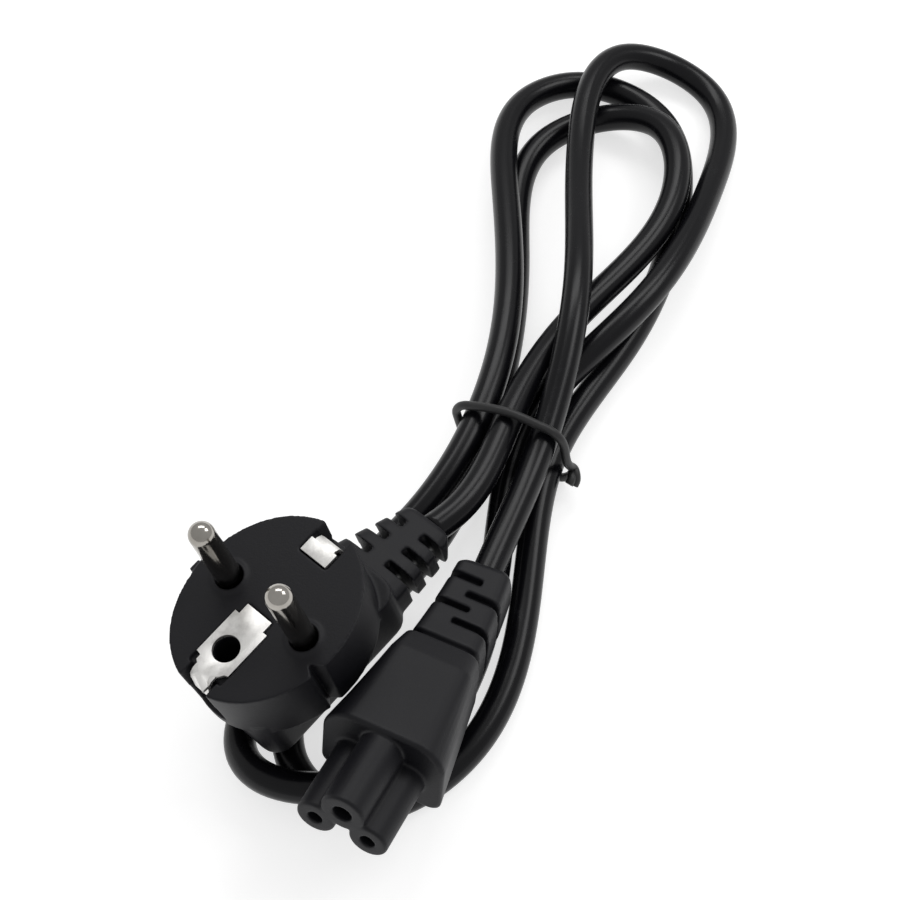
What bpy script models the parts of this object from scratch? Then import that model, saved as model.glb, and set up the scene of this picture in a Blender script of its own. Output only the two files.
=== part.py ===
import math

import bmesh
import bpy
import numpy as np
from mathutils import Matrix, Vector

# A black mains lead, coiled and held by a wire tie, as it lies on a table:
# a round two-pin earthed plug with the cord leaving at its side, about
# 1.1 m of round cord, and a three-hole appliance connector.
# All sizes are in millimetres and are turned into metres at the very end.
# Z is up, the table is at z = 0 and the origin is the middle of the
# outline on the table.

MM = 0.001
CLEAR = 0.3  # air between touching pieces

# Where the part's own origin lies in the layout below.
LAYOUT_CENTRE = Vector((7.75, 5.96, -0.12))

# Cord
CORD_DIA = 6.0
CORD_STEP = 17.0  # longest step between two points of the tube
CORD_TURN = math.radians(24.0)  # largest turn between two points of the tube
CORD_LEAD = 7.0  # straight run out of each strain relief
CURVE_STEP = 0.5  # step along the smooth curve from which the tube's points are read

# Plug face and body (x along the two pins, y toward the cord, z out of the face)
PLUG_AT = Vector((-31.92, -54.01, 35.0))
PLUG_PIN_LINE = Vector((0.7248, -0.6816, 0.1006))
PLUG_NORMAL = Vector((-0.1798, -0.0462, 0.9826))
FACE_HALF_X = 16.0
FACE_HALF_Y = 18.9
FACE_EDGE = 0.5
SHELL_DEPTH = 15.5
SHELL_DRAFT = 0.5
GRIP_HALF_X = 10.3
GRIP_BACK_Y = -16.5
GRIP_FRONT_Y = 19.6
GRIP_DEPTH = 26.5
GRIP_CORNER = 4.0
GRIP_EDGE = 2.0

# Pins
PIN_DIA = 4.8
PIN_SPACING = 19.0
PIN_LENGTH = 19.0
PIN_ROOT = 9.0
PIN_FOOT_DIA = 6.2
PIN_FOOT_RISE = 0.5

# Earth contact on the face
EARTH_HOLE_DIA = 5.2
EARTH_HOLE_Y = -10.0
EARTH_BORE_DEPTH = 14.0
PLATE_THICK = 0.8
PLATE_PROUD = 0.1
PLATE_HALF = 4.0
PLATE_INNER_Y = -3.8
PLATE_OUTER_Y = -15.2
PLATE_STEP_HALF = 3.0
PLATE_STEP_Y = -1.6
STRIP_WIDTH = 4.6
STRIP_DROP = 11.0
STRIP_BULGE = 0.9
STRIP_PRESSED = 0.06
NOTCH_HALF = 3.2
NOTCH_LENGTH = 3.6
NOTCH_DROP = 12.5
FAR_PLATE_Y = 11.8
FAR_PLATE_HALF = 3.1

# Guide groove and guide rib at the two ends of the pin line
GROOVE_HALF = 1.9
GROOVE_DEPTH = 1.6
GROOVE_Y = -3.0
RIB_HALF = 1.2
RIB_PROUD = 0.9
RIB_Y = -2.2

# Strain relief of the plug
RELIEF_START_Y = 20.4
RELIEF_END_Y = 34.6
RELIEF_HALF_START = 8.4
RELIEF_HALF_END = 5.5
RELIEF_TOP_START = 17.2
RELIEF_TOP_END = 21.0
RELIEF_LOW_START = 26.5
RELIEF_LOW_END = 29.6
RELIEF_SHIFT_END = 0.6
RELIEF_PITCH = 4.2
RELIEF_SLOT = 1.7
RELIEF_SLOTS = 3
RELIEF_FIRST_SLOT = 2.7
SPINE_HALF = 2.1
CORE_HALF = 3.1

# Connector (x sideways, y up, z toward its nose)
CONN_AT = Vector((-12.1, -76.8, 19.3))
CONN_YAW = math.radians(-116.1)
CONN_PITCH = math.radians(12.4)
CONN_ROLL = math.radians(1.0)
CONN_HALF = 11.8
CONN_TOP = 9.9
CONN_LOW = -6.8
CONN_WAIST = 0.77  # height of the widest line, as a share of the section's height
CONN_CROWN = 0.69  # width of the top, as a share of the section's width
CONN_CHAMFER = 18.8
CONN_CHAMFER_HALF = 8.6
CONN_BODY = 23.6
CONN_BACK_HALF = 7.8
CONN_BACK_CROWN = 0.83
CONN_BACK_DROP = 1.6
CONN_LENGTH = 45.0
NECK_HALF = 7.2
NECK_DROP = 2.4
NECK_LIFT = 1.3
NECK_GROOVE = 0.9
END_HALF = 5.5
END_DROP = 3.5
END_LIFT = 3.2
CONN_RISE = 0.0043
CONN_BEND = 0.0019
BARREL_DIA = 7.3
BARREL_SPACING = 10.0
EARTH_BARREL_DIA = 8.4
EARTH_BARREL_UP = 4.8
BARREL_LENGTH = 14.9
BARREL_BORE = 2.8
EARTH_BARREL_BORE = 3.6
BORE_DEPTH = 12.0
CONN_SLOT = 1.3
CONN_SLOT_DEEP = 1.7
CONN_SLOT_FIRST = 6.2
CONN_SLOT_PITCH = 3.3
CONN_SLOTS = 4

# Wire tie round the six strands
TIE_AT = Vector((12.2, -2.8, 0.0))
TIE_ALONG = Vector((0.40, 0.917, 0.0))
TIE_DIA = 1.6
TIE_REACH = 22.0
TIE_SLACK = 0.2

# The cord's route between its two straight leads, from the plug to the
# connector, chosen by hand (mm).
ROUTE = [
    (11.8, -0.7, 13.4), (26.5, 26.8, 10.1), (48.6, 59.1, 9.9), (46.2, 80.7, 8.5),
    (34.8, 85.9, 4.5), (21.6, 80.0, 3.3), (14.3, 47.5, 3.1), (9.1, 7.8, 5.0),
    (-8.3, -30.7, 3.6), (-30.0, -61.0, 3.0), (-28.6, -70.2, 3.0), (-18.9, -77.9, 3.0),
    (0.6, -70.4, 3.2), (14.4, -37.7, 3.4), (20.2, -5.7, 5.0), (37.0, 24.2, 3.1),
    (50.6, 63.7, 3.6), (46.9, 88.2, 3.1), (30.0, 97.1, 3.5), (18.3, 91.3, 5.3),
    (12.1, 60.1, 9.1), (10.4, 16.9, 11.5), (-5.7, -19.8, 9.5), (-29.4, -44.1, 4.1),
    (-38.2, -68.4, 4.6), (-34.6, -73.6, 7.1), (-20.3, -76.9, 9.4), (0.7, -57.9, 3.6),
    (9.1, -27.7, 4.4), (15.6, 2.0, 5.6), (38.7, 28.0, 10.7), (57.3, 64.1, 6.3),
    (58.9, 95.8, 3.1), (49.7, 102.2, 4.9), (40.4, 101.4, 8.2), (28.8, 73.3, 10.6),
    (25.6, 24.7, 17.1), (17.2, -9.0, 12.1),
]


def clear_scene():
    for ob in list(bpy.data.objects):
        bpy.data.objects.remove(ob, do_unlink=True)


def material(name, colour, roughness, metallic):
    mat = bpy.data.materials.new(name)
    mat.use_nodes = True
    shader = mat.node_tree.nodes["Principled BSDF"]
    shader.inputs["Base Color"].default_value = (*colour, 1.0)
    shader.inputs["Roughness"].default_value = roughness
    shader.inputs["Metallic"].default_value = metallic
    mat.diffuse_color = (*colour, 1.0)
    return mat


def plug_frame():
    n = PLUG_NORMAL.normalized()
    a = (PLUG_PIN_LINE - n * PLUG_PIN_LINE.dot(n)).normalized()
    c = n.cross(a)
    m = Matrix((a, c, n)).transposed().to_4x4()
    return Matrix.Translation(PLUG_AT - LAYOUT_CENTRE) @ m


def connector_frame():
    n = Vector((
        math.cos(CONN_YAW) * math.cos(CONN_PITCH),
        math.sin(CONN_YAW) * math.cos(CONN_PITCH),
        math.sin(CONN_PITCH)))
    side = Vector((-math.sin(CONN_YAW), math.cos(CONN_YAW), 0.0))
    up = n.cross(side)
    a = side * math.cos(CONN_ROLL) + up * math.sin(CONN_ROLL)
    u = n.cross(a)
    m = Matrix((a, u, n)).transposed().to_4x4()
    return Matrix.Translation(CONN_AT - LAYOUT_CENTRE) @ m


PLUG_FRAME = plug_frame()
CONN_FRAME = connector_frame()


def new_object(name, bm, frame, mat=None, guide=False):
    bmesh.ops.recalc_face_normals(bm, faces=bm.faces[:])
    bmesh.ops.transform(bm, matrix=Matrix.Scale(MM, 4) @ frame, verts=bm.verts[:])
    mesh = bpy.data.meshes.new(name)
    bm.to_mesh(mesh)
    bm.free()
    ob = bpy.data.objects.new(name, mesh)
    bpy.context.scene.collection.objects.link(ob)
    if guide:
        ob.hide_render = True
        ob.display_type = "WIRE"
    else:
        mesh.materials.append(mat)
        mesh.shade_smooth()
        mesh.set_sharp_from_angle(angle=math.radians(32.0))
    return ob


def boolean(ob, other, operation):
    mod = ob.modifiers.new(operation.title() + " " + other.name, "BOOLEAN")
    mod.operation = operation
    mod.object = other
    mod.solver = "EXACT"


def loft(bm, rings):
    rows = [[bm.verts.new(p) for p in ring] for ring in rings]
    count = len(rows[0])
    for low, high in zip(rows, rows[1:]):
        for i in range(count):
            j = (i + 1) % count
            bm.faces.new((low[i], low[j], high[j], high[i]))
    bm.faces.new(rows[0][::-1])
    bm.faces.new(rows[-1])
    return bm


def oval(half_x, half_y, z, count):
    points = []
    for i in range(count):
        t = 2.0 * math.pi * (i + 0.5) / count
        points.append(Vector((half_x * math.cos(t), half_y * math.sin(t), z)))
    return points


def rounded(x0, x1, y0, y1, radius, steps=4):
    points = []
    corners = [
        (x1 - radius, y1 - radius, 0.0), (x0 + radius, y1 - radius, 0.5),
        (x0 + radius, y0 + radius, 1.0), (x1 - radius, y0 + radius, 1.5)]
    for cx, cy, start in corners:
        for k in range(steps + 1):
            t = math.pi * (start + 0.5 * k / steps)
            points.append((cx + radius * math.cos(t), cy + radius * math.sin(t)))
    return points


def soft_corners(corners, radius, steps=3):
    # A closed outline whose corners are rounded by arcs.
    points = []
    count = len(corners)
    for i in range(count):
        here = Vector(corners[i])
        to_last = (Vector(corners[i - 1]) - here).normalized()
        to_next = (Vector(corners[(i + 1) % count]) - here).normalized()
        half = to_last.angle(to_next) / 2
        middle = here + (to_last + to_next).normalized() * radius / math.sin(half)
        start = here + to_last * radius / math.tan(half) - middle
        end = here + to_next * radius / math.tan(half) - middle
        sweep = math.atan2(start.x * end.y - start.y * end.x, start.dot(end))
        for k in range(steps + 1):
            t = sweep * k / steps
            points.append((middle.x + start.x * math.cos(t) - start.y * math.sin(t),
                           middle.y + start.x * math.sin(t) + start.y * math.cos(t)))
    return points


def cylinder(radius, z0, z1, x=0.0, y=0.0, count=24, top_edge=0.0):
    bm = bmesh.new()
    circle = [(math.cos(2 * math.pi * i / count), math.sin(2 * math.pi * i / count))
              for i in range(count)]
    levels = [(radius, z0), (radius, z1)]
    if top_edge > 0.0:
        levels = [(radius, z0), (radius, z1 - top_edge), (radius - top_edge, z1)]
    return loft(bm, [[Vector((x + r * cx, y + r * cy, z)) for cx, cy in circle]
                     for r, z in levels])


def block(x0, x1, y0, y1, z0, z1):
    bm = bmesh.new()
    outline = [(x0, y0), (x1, y0), (x1, y1), (x0, y1)]
    return loft(bm, [[Vector((x, y, z)) for x, y in outline] for z in (z0, z1)])


def prism(outline, x0, x1):
    # outline in (y, z), drawn out along x
    bm = bmesh.new()
    return loft(bm, [[Vector((x, y, z)) for y, z in outline] for x in (x0, x1)])


def relief_at(y):
    t = (y - RELIEF_START_Y) / (RELIEF_END_Y - RELIEF_START_Y)
    half = RELIEF_HALF_START + (RELIEF_HALF_END - RELIEF_HALF_START) * t
    top = RELIEF_TOP_START + (RELIEF_TOP_END - RELIEF_TOP_START) * t
    low = RELIEF_LOW_START + (RELIEF_LOW_END - RELIEF_LOW_START) * t
    return RELIEF_SHIFT_END * t, half, top, low


def relief_slope():
    # How fast the strain relief's axis drops from the face, per millimetre of y.
    start = (RELIEF_TOP_START + RELIEF_LOW_START) / 2
    end = (RELIEF_TOP_END + RELIEF_LOW_END) / 2
    return (end - start) / (RELIEF_END_Y - RELIEF_START_Y)


def relief_ring(y, shrink=0.0):
    # Each section stands square to the axis, so that the cord leaves it squarely.
    shift, half, top, low = relief_at(y)
    flat = rounded(shift - half + shrink, shift + half - shrink, -low + shrink, -top - shrink, 3.0)
    middle = -(top + low) / 2
    return [Vector((x, y + relief_slope() * (z - middle), z)) for x, z in flat]


def plug_exit():
    # Where the cord's axis leaves the plug, and which way, in the plug's frame.
    shift, half, top, low = relief_at(RELIEF_END_Y)
    at = Vector((shift, RELIEF_END_Y, -(top + low) / 2))
    way = Vector((RELIEF_SHIFT_END / (RELIEF_END_Y - RELIEF_START_Y), 1.0, -relief_slope()))
    return at, way.normalized()


def build_plug_body(mat):
    bm = bmesh.new()
    count = 48
    rings = [
        oval(FACE_HALF_X - FACE_EDGE, FACE_HALF_Y - FACE_EDGE, 0.0, count),
        oval(FACE_HALF_X, FACE_HALF_Y, -FACE_EDGE, count),
        oval(FACE_HALF_X - SHELL_DRAFT, FACE_HALF_Y - SHELL_DRAFT, -SHELL_DEPTH, count),
    ]
    loft(bm, rings[::-1])
    body = new_object("plug_body", bm, PLUG_FRAME, mat)

    # Grip behind the round shell
    bm = bmesh.new()
    levels = [(0.0, -SHELL_DEPTH + 2.0), (0.0, -GRIP_DEPTH + GRIP_EDGE),
              (GRIP_EDGE * 0.3, -GRIP_DEPTH + GRIP_EDGE * 0.3), (GRIP_EDGE, -GRIP_DEPTH)]
    rings = []
    for inset, z in levels:
        flat = rounded(-GRIP_HALF_X + inset, GRIP_HALF_X - inset,
                       GRIP_BACK_Y + inset, GRIP_FRONT_Y - inset, GRIP_CORNER)
        rings.append([Vector((x, y, z)) for x, y in flat])
    loft(bm, rings)
    grip = new_object("guide_grip", bm, PLUG_FRAME, guide=True)
    boolean(body, grip, "UNION")

    # Strain relief, tapering toward the cord
    bm = bmesh.new()
    stations = [RELIEF_START_Y - 6.0, RELIEF_START_Y + 1.0, RELIEF_END_Y - 0.8]
    rings = [relief_ring(y) for y in stations]
    rings.append([p + Vector((0.0, 0.8, 0.0)) for p in relief_ring(RELIEF_END_Y - 0.8, 0.6)])
    loft(bm, rings)
    relief = new_object("guide_relief", bm, PLUG_FRAME, guide=True)
    boolean(body, relief, "UNION")

    # Slots across the strain relief, on both sides of its spine and its core
    bm = bmesh.new()
    for i in range(RELIEF_SLOTS):
        y = RELIEF_START_Y + RELIEF_FIRST_SLOT + i * RELIEF_PITCH
        shift, half, top, low = relief_at(y)
        middle = -(top + low) / 2
        for side in (-1, 1):
            x0 = shift + side * SPINE_HALF
            x1 = shift + side * (half + 1.0)
            core = shift + side * CORE_HALF
            y0, y1 = y - RELIEF_SLOT / 2, y + RELIEF_SLOT / 2
            z_top, z_low = -top + 1.0, -low - 1.0
            outline = [(x0, z_top), (x1, z_top), (x1, z_low), (x0, z_low),
                       (x0, middle - CORE_HALF), (core, middle - CORE_HALF * 0.6),
                       (core, middle + CORE_HALF * 0.6), (x0, middle + CORE_HALF)]
            rows = [[Vector((px, yy, pz)) for px, pz in outline] for yy in (y0, y1)]
            loft(bm, rows)
    slots = new_object("guide_relief_slots", bm, PLUG_FRAME, guide=True)
    boolean(body, slots, "DIFFERENCE")

    # Rib at one end of the pin line and groove at the other
    rib = new_object("guide_rib", block(
        -FACE_HALF_X - RIB_PROUD, -FACE_HALF_X + 1.5, RIB_Y - RIB_HALF, RIB_Y + RIB_HALF,
        -SHELL_DEPTH + 1.0, -FACE_EDGE), PLUG_FRAME, guide=True)
    boolean(body, rib, "UNION")
    bm = bmesh.new()
    outline = [(FACE_HALF_X - GROOVE_DEPTH - 0.8, GROOVE_Y),
               (FACE_HALF_X + 1.0, GROOVE_Y - GROOVE_HALF - 0.6),
               (FACE_HALF_X + 1.0, GROOVE_Y + GROOVE_HALF + 0.6)]
    loft(bm, [[Vector((x, y, z)) for x, y in outline] for z in (-SHELL_DEPTH - 1.0, 1.0)])
    groove = new_object("guide_groove", bm, PLUG_FRAME, guide=True)
    boolean(body, groove, "DIFFERENCE")

    # Feet of the pins, pin bores and earth bore
    for side, name in ((-1, "left"), (1, "right")):
        x = side * PIN_SPACING / 2
        foot = new_object("guide_foot_" + name, cylinder(
            PIN_FOOT_DIA / 2, -1.0, PIN_FOOT_RISE, x, top_edge=0.2), PLUG_FRAME, guide=True)
        boolean(body, foot, "UNION")
    for side, name in ((-1, "left"), (1, "right")):
        x = side * PIN_SPACING / 2
        bore = new_object("guide_bore_" + name, cylinder(
            PIN_DIA / 2 + CLEAR, -PIN_ROOT - CLEAR, 2.0, x), PLUG_FRAME, guide=True)
        boolean(body, bore, "DIFFERENCE")
    bore = new_object("guide_earth_bore", cylinder(
        EARTH_HOLE_DIA / 2 + 0.2, -EARTH_BORE_DEPTH, 2.0, 0.0, EARTH_HOLE_Y), PLUG_FRAME, guide=True)
    boolean(body, bore, "DIFFERENCE")

    # Beds of the two earth contacts and the notches they fold into
    low = PLATE_PROUD - PLATE_THICK - CLEAR
    bm = bmesh.new()
    outline = grow(plate_outline(), CLEAR)
    loft(bm, [[Vector((x, y, z)) for x, y in outline] for z in (low, 2.0)])
    bed = new_object("guide_bed", bm, PLUG_FRAME, guide=True)
    boolean(body, bed, "DIFFERENCE")
    far = block(-FAR_PLATE_HALF - CLEAR, FAR_PLATE_HALF + CLEAR, FAR_PLATE_Y - CLEAR,
                FACE_HALF_Y - NOTCH_LENGTH + 1.0, low, 2.0)
    bed = new_object("guide_far_bed", far, PLUG_FRAME, guide=True)
    boolean(body, bed, "DIFFERENCE")
    for side, name in ((-1, "near"), (1, "far")):
        inner = side * (FACE_HALF_Y - NOTCH_LENGTH)
        outer = side * (FACE_HALF_Y + 2.0)
        notch = new_object("guide_notch_" + name, block(
            -NOTCH_HALF, NOTCH_HALF, min(inner, outer), max(inner, outer), -NOTCH_DROP, 2.0),
            PLUG_FRAME, guide=True)
        boolean(body, notch, "DIFFERENCE")
    return body


def plate_outline():
    return [(-PLATE_HALF, PLATE_OUTER_Y), (PLATE_HALF, PLATE_OUTER_Y), (PLATE_HALF, PLATE_INNER_Y),
            (PLATE_STEP_HALF, PLATE_INNER_Y), (PLATE_STEP_HALF, PLATE_STEP_Y),
            (-PLATE_STEP_HALF, PLATE_STEP_Y), (-PLATE_STEP_HALF, PLATE_INNER_Y),
            (-PLATE_HALF, PLATE_INNER_Y)]


def grow(outline, gap):
    # Moves each side of a right-angled outline outward by the gap.
    count = len(outline)
    grown = []
    for i in range(count):
        before = Vector(outline[i]) - Vector(outline[i - 1])
        after = Vector(outline[(i + 1) % count]) - Vector(outline[i])
        n0 = Vector((before.y, -before.x)).normalized()
        n1 = Vector((after.y, -after.x)).normalized()
        p = Vector(outline[i]) + (n0 + n1) * gap
        grown.append((p.x, p.y))
    return grown


def strip_profile(side):
    # The strip leaves the plate, folds over the notch's edge and bows outward.
    # It is pressed a little thinner than the plate.
    top = PLATE_PROUD - STRIP_PRESSED
    thick = PLATE_THICK - 2.0 * STRIP_PRESSED
    wall = FACE_HALF_Y - NOTCH_LENGTH
    inner = wall + CLEAR
    bow = inner + STRIP_BULGE
    outer = [(wall - 1.2, top), (inner + 0.4, top), (inner + thick, top - 0.4),
             (bow + thick, top - STRIP_DROP * 0.45), (inner + thick, top - STRIP_DROP)]
    inside = [(inner, top - STRIP_DROP), (bow, top - STRIP_DROP * 0.45),
              (inner, top - thick), (wall - 1.2, top - thick)]
    return [(side * y, z) for y, z in outer + inside]


def build_earth_contact(mat):
    bm = bmesh.new()
    loft(bm, [[Vector((x, y, z)) for x, y in plate_outline()]
              for z in (PLATE_PROUD - PLATE_THICK, PLATE_PROUD)])
    plate = new_object("earth_contact", bm, PLUG_FRAME, mat)
    strip = new_object("guide_near_strip", prism(
        strip_profile(-1), -STRIP_WIDTH / 2, STRIP_WIDTH / 2), PLUG_FRAME, guide=True)
    boolean(plate, strip, "UNION")
    hole = new_object("guide_earth_hole", cylinder(
        EARTH_HOLE_DIA / 2, -3.0, 3.0, 0.0, EARTH_HOLE_Y), PLUG_FRAME, guide=True)
    boolean(plate, hole, "DIFFERENCE")
    return plate


def build_far_clip(mat):
    top = PLATE_PROUD
    bm = block(-FAR_PLATE_HALF, FAR_PLATE_HALF, FAR_PLATE_Y, FACE_HALF_Y - NOTCH_LENGTH,
               top - PLATE_THICK, top)
    clip = new_object("earth_clip", bm, PLUG_FRAME, mat)
    strip = new_object("guide_far_strip", prism(
        strip_profile(1), -STRIP_WIDTH / 2, STRIP_WIDTH / 2), PLUG_FRAME, guide=True)
    boolean(clip, strip, "UNION")
    return clip


def build_pin(name, side, mat):
    bm = bmesh.new()
    radius = PIN_DIA / 2
    count = 24
    rings = []
    for r, z in [(radius - 0.3, -PIN_ROOT), (radius, -PIN_ROOT + 0.3)]:
        rings.append((r, z))
    for k in range(6):
        t = 0.5 * math.pi * k / 6
        rings.append((radius * math.cos(t), PIN_LENGTH - radius + radius * math.sin(t)))
    x = side * PIN_SPACING / 2
    rows = [[Vector((x + r * math.cos(2 * math.pi * i / count), r * math.sin(2 * math.pi * i / count), z))
             for i in range(count)] for r, z in rings]
    loft(bm, rows)
    return new_object(name, bm, PLUG_FRAME, mat)


def bend_at(z):
    # The strain relief curves up and a little sideways, as the cord pulls it.
    run = max(0.0, -z - CONN_BODY)
    return -CONN_BEND * run * run, CONN_RISE * run * run


def bend_way(z):
    # Which way the strain relief runs at that place.
    run = max(0.0, -z - CONN_BODY)
    return Vector((-2.0 * CONN_BEND * run, 2.0 * CONN_RISE * run, -1.0))


def neck_section(z):
    # Half width, underside and top of the strain relief.
    t = (-z - CONN_BODY) / (CONN_LENGTH - CONN_BODY)
    half = NECK_HALF + (END_HALF - NECK_HALF) * t
    low = CONN_LOW + NECK_LIFT + (END_LIFT - NECK_LIFT) * t
    high = CONN_TOP - NECK_DROP - (END_DROP - NECK_DROP) * t
    return half, low, high


def connector_ring(z, half, low, high, crown, radius=2.0):
    # Wide below and narrower on top, as the three barrels are.
    middle = (low + high) / 2
    waist = low + (high - low) * CONN_WAIST
    flat = soft_corners([(half, low), (half, waist), (half * crown, high),
                         (-half * crown, high), (-half, waist), (-half, low)], radius)
    aside, rise = bend_at(z)
    way = bend_way(z)
    return [Vector((x + aside, y + rise, z + way.x * x + way.y * (y - middle)))
            for x, y in flat]


def neck_ring(z, shrink):
    half, low, high = neck_section(z)
    return connector_ring(z, half - shrink, low + shrink, high - shrink, CONN_BACK_CROWN)


def connector_exit():
    # Where the cord's axis leaves the connector, and which way, in its frame.
    half, low, high = neck_section(-CONN_LENGTH)
    aside, rise = bend_at(-CONN_LENGTH)
    at = Vector((aside, (low + high) / 2 + rise, -CONN_LENGTH))
    return at, bend_way(-CONN_LENGTH).normalized()


def build_connector(mat):
    # Body and strain relief in one run of sections from the shoulder back
    rings = [
        connector_ring(0.0, CONN_HALF - 0.6, CONN_LOW + 0.6, CONN_TOP - 0.6, CONN_CROWN),
        connector_ring(-0.6, CONN_HALF, CONN_LOW, CONN_TOP, CONN_CROWN),
        connector_ring(-CONN_CHAMFER, CONN_CHAMFER_HALF, CONN_LOW, CONN_TOP - 0.4,
                       CONN_BACK_CROWN),
        connector_ring(-CONN_BODY, CONN_BACK_HALF, CONN_LOW + 0.6,
                       CONN_TOP - CONN_BACK_DROP, CONN_BACK_CROWN),
    ]
    for back, shrink in ((0.6, NECK_GROOVE), (1.2, NECK_GROOVE), (1.8, 0.0)):
        rings.append(neck_ring(-CONN_BODY - back, shrink))
    for share in (0.35, 0.7):
        rings.append(neck_ring(-CONN_BODY - (CONN_LENGTH - CONN_BODY) * share, 0.0))
    rings.append(neck_ring(-CONN_LENGTH + 1.0, 0.0))
    rings.append(neck_ring(-CONN_LENGTH, 0.8))
    bm = bmesh.new()
    loft(bm, rings)
    body = new_object("connector_body", bm, CONN_FRAME, mat)

    barrels = [("earth", 0.0, EARTH_BARREL_UP, EARTH_BARREL_DIA, EARTH_BARREL_BORE),
               ("left", -BARREL_SPACING / 2, 0.0, BARREL_DIA, BARREL_BORE),
               ("right", BARREL_SPACING / 2, 0.0, BARREL_DIA, BARREL_BORE)]
    for name, x, y, outer, inner in barrels:
        tube = new_object("guide_barrel_" + name, cylinder(
            outer / 2, -2.0, BARREL_LENGTH, x, y, top_edge=0.35), CONN_FRAME, guide=True)
        boolean(body, tube, "UNION")
    for name, x, y, outer, inner in barrels:
        hole = new_object("guide_hole_" + name, cylinder(
            inner / 2, BARREL_LENGTH - BORE_DEPTH, BARREL_LENGTH + 2.0, x, y, 16), CONN_FRAME, guide=True)
        boolean(body, hole, "DIFFERENCE")

    # Slots in the strain relief, to one side and the other in turn. Each is cut
    # over the top, down the side and under the belly, round the cord's core.
    bm = bmesh.new()
    for i in range(CONN_SLOTS):
        z = -CONN_BODY - CONN_SLOT_FIRST - i * CONN_SLOT_PITCH
        side = 1 if i % 2 == 0 else -1
        half, low, high = neck_section(z)
        aside, rise = bend_at(z)
        inner = aside - side
        outer = aside + side * (half + 2.0)
        core = aside + side * (CORE_HALF + 0.8)
        outline = [(inner, high - CONN_SLOT_DEEP), (core, high - CONN_SLOT_DEEP),
                   (core, low + CONN_SLOT_DEEP), (inner, low + CONN_SLOT_DEEP),
                   (inner, low - 2.0), (outer, low - 2.0),
                   (outer, high + 2.0), (inner, high + 2.0)]
        loft(bm, [[Vector((x, y + rise, zz)) for x, y in outline]
                  for zz in (z - CONN_SLOT / 2, z + CONN_SLOT / 2)])
    slots = new_object("guide_connector_slots", bm, CONN_FRAME, guide=True)
    boolean(body, slots, "DIFFERENCE")
    return body


def cord_ends():
    # The first two and the last two points, in the layout's millimetres.
    ends = []
    for frame, leave in ((PLUG_FRAME, plug_exit), (CONN_FRAME, connector_exit)):
        at, way = leave()
        start = frame @ (at + way * CLEAR) + LAYOUT_CENTRE
        lead = frame @ (at + way * (CLEAR + CORD_LEAD)) + LAYOUT_CENTRE
        ends.append([tuple(start), tuple(lead)])
    return ends[0], ends[1][::-1]


def smooth_route():
    # A natural cubic spline through the route's points, by chord length.
    first, last = cord_ends()
    points = np.array(first + ROUTE + last, dtype=float)
    steps = np.linalg.norm(np.diff(points, axis=0), axis=1)
    t = np.concatenate(([0.0], np.cumsum(steps)))
    n = len(t)
    h = np.diff(t)
    a = np.zeros((n, n))
    b = np.zeros((n, 3))
    a[0, 0] = 1.0
    a[-1, -1] = 1.0
    for i in range(1, n - 1):
        a[i, i - 1] = h[i - 1]
        a[i, i] = 2.0 * (h[i - 1] + h[i])
        a[i, i + 1] = h[i]
        b[i] = 6.0 * ((points[i + 1] - points[i]) / h[i] - (points[i] - points[i - 1]) / h[i - 1])
    m = np.linalg.solve(a, b)
    u = np.arange(0.0, t[-1], CURVE_STEP)
    u = np.append(u, t[-1])
    k = np.clip(np.searchsorted(t, u, side="right") - 1, 0, n - 2)
    left = (t[k + 1] - u)[:, None]
    right = (u - t[k])[:, None]
    hk = h[k][:, None]
    curve = (m[k] * left ** 3 + m[k + 1] * right ** 3) / (6.0 * hk)
    curve += (points[k] / hk - m[k] * hk / 6.0) * left
    curve += (points[k + 1] / hk - m[k + 1] * hk / 6.0) * right
    return curve


def tube_points(curve):
    # Keeps a point after each full step, or sooner where the cord turns.
    kept = [0]
    last = 0
    ahead = int(0.5 * CORD_LEAD / CURVE_STEP)
    for i in range(1, len(curve) - ahead - 1):
        far = np.linalg.norm(curve[i] - curve[last])
        d0 = curve[last + 1] - curve[last]
        d1 = curve[i + 1] - curve[i]
        turn = math.acos(max(-1.0, min(1.0, float(
            d0 @ d1 / (np.linalg.norm(d0) * np.linalg.norm(d1))))))
        if far >= CORD_STEP or turn >= CORD_TURN or i == ahead:
            kept.append(i)
            last = i
    kept += [len(curve) - 1 - ahead, len(curve) - 1]
    return [Vector(curve[i]) - LAYOUT_CENTRE for i in kept]


def tube(name, points, diameter, resolution, mat, cyclic=False):
    data = bpy.data.curves.new(name, "CURVE")
    data.dimensions = "3D"
    spline = data.splines.new("POLY")
    spline.points.add(len(points) - 1)
    for target, p in zip(spline.points, points):
        target.co = (*(p * MM), 1.0)
    spline.use_cyclic_u = cyclic
    data.bevel_depth = diameter / 2 * MM
    data.bevel_resolution = resolution
    data.use_fill_caps = not cyclic
    data.materials.append(mat)
    ob = bpy.data.objects.new(name, data)
    bpy.context.scene.collection.objects.link(ob)
    return ob


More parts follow.
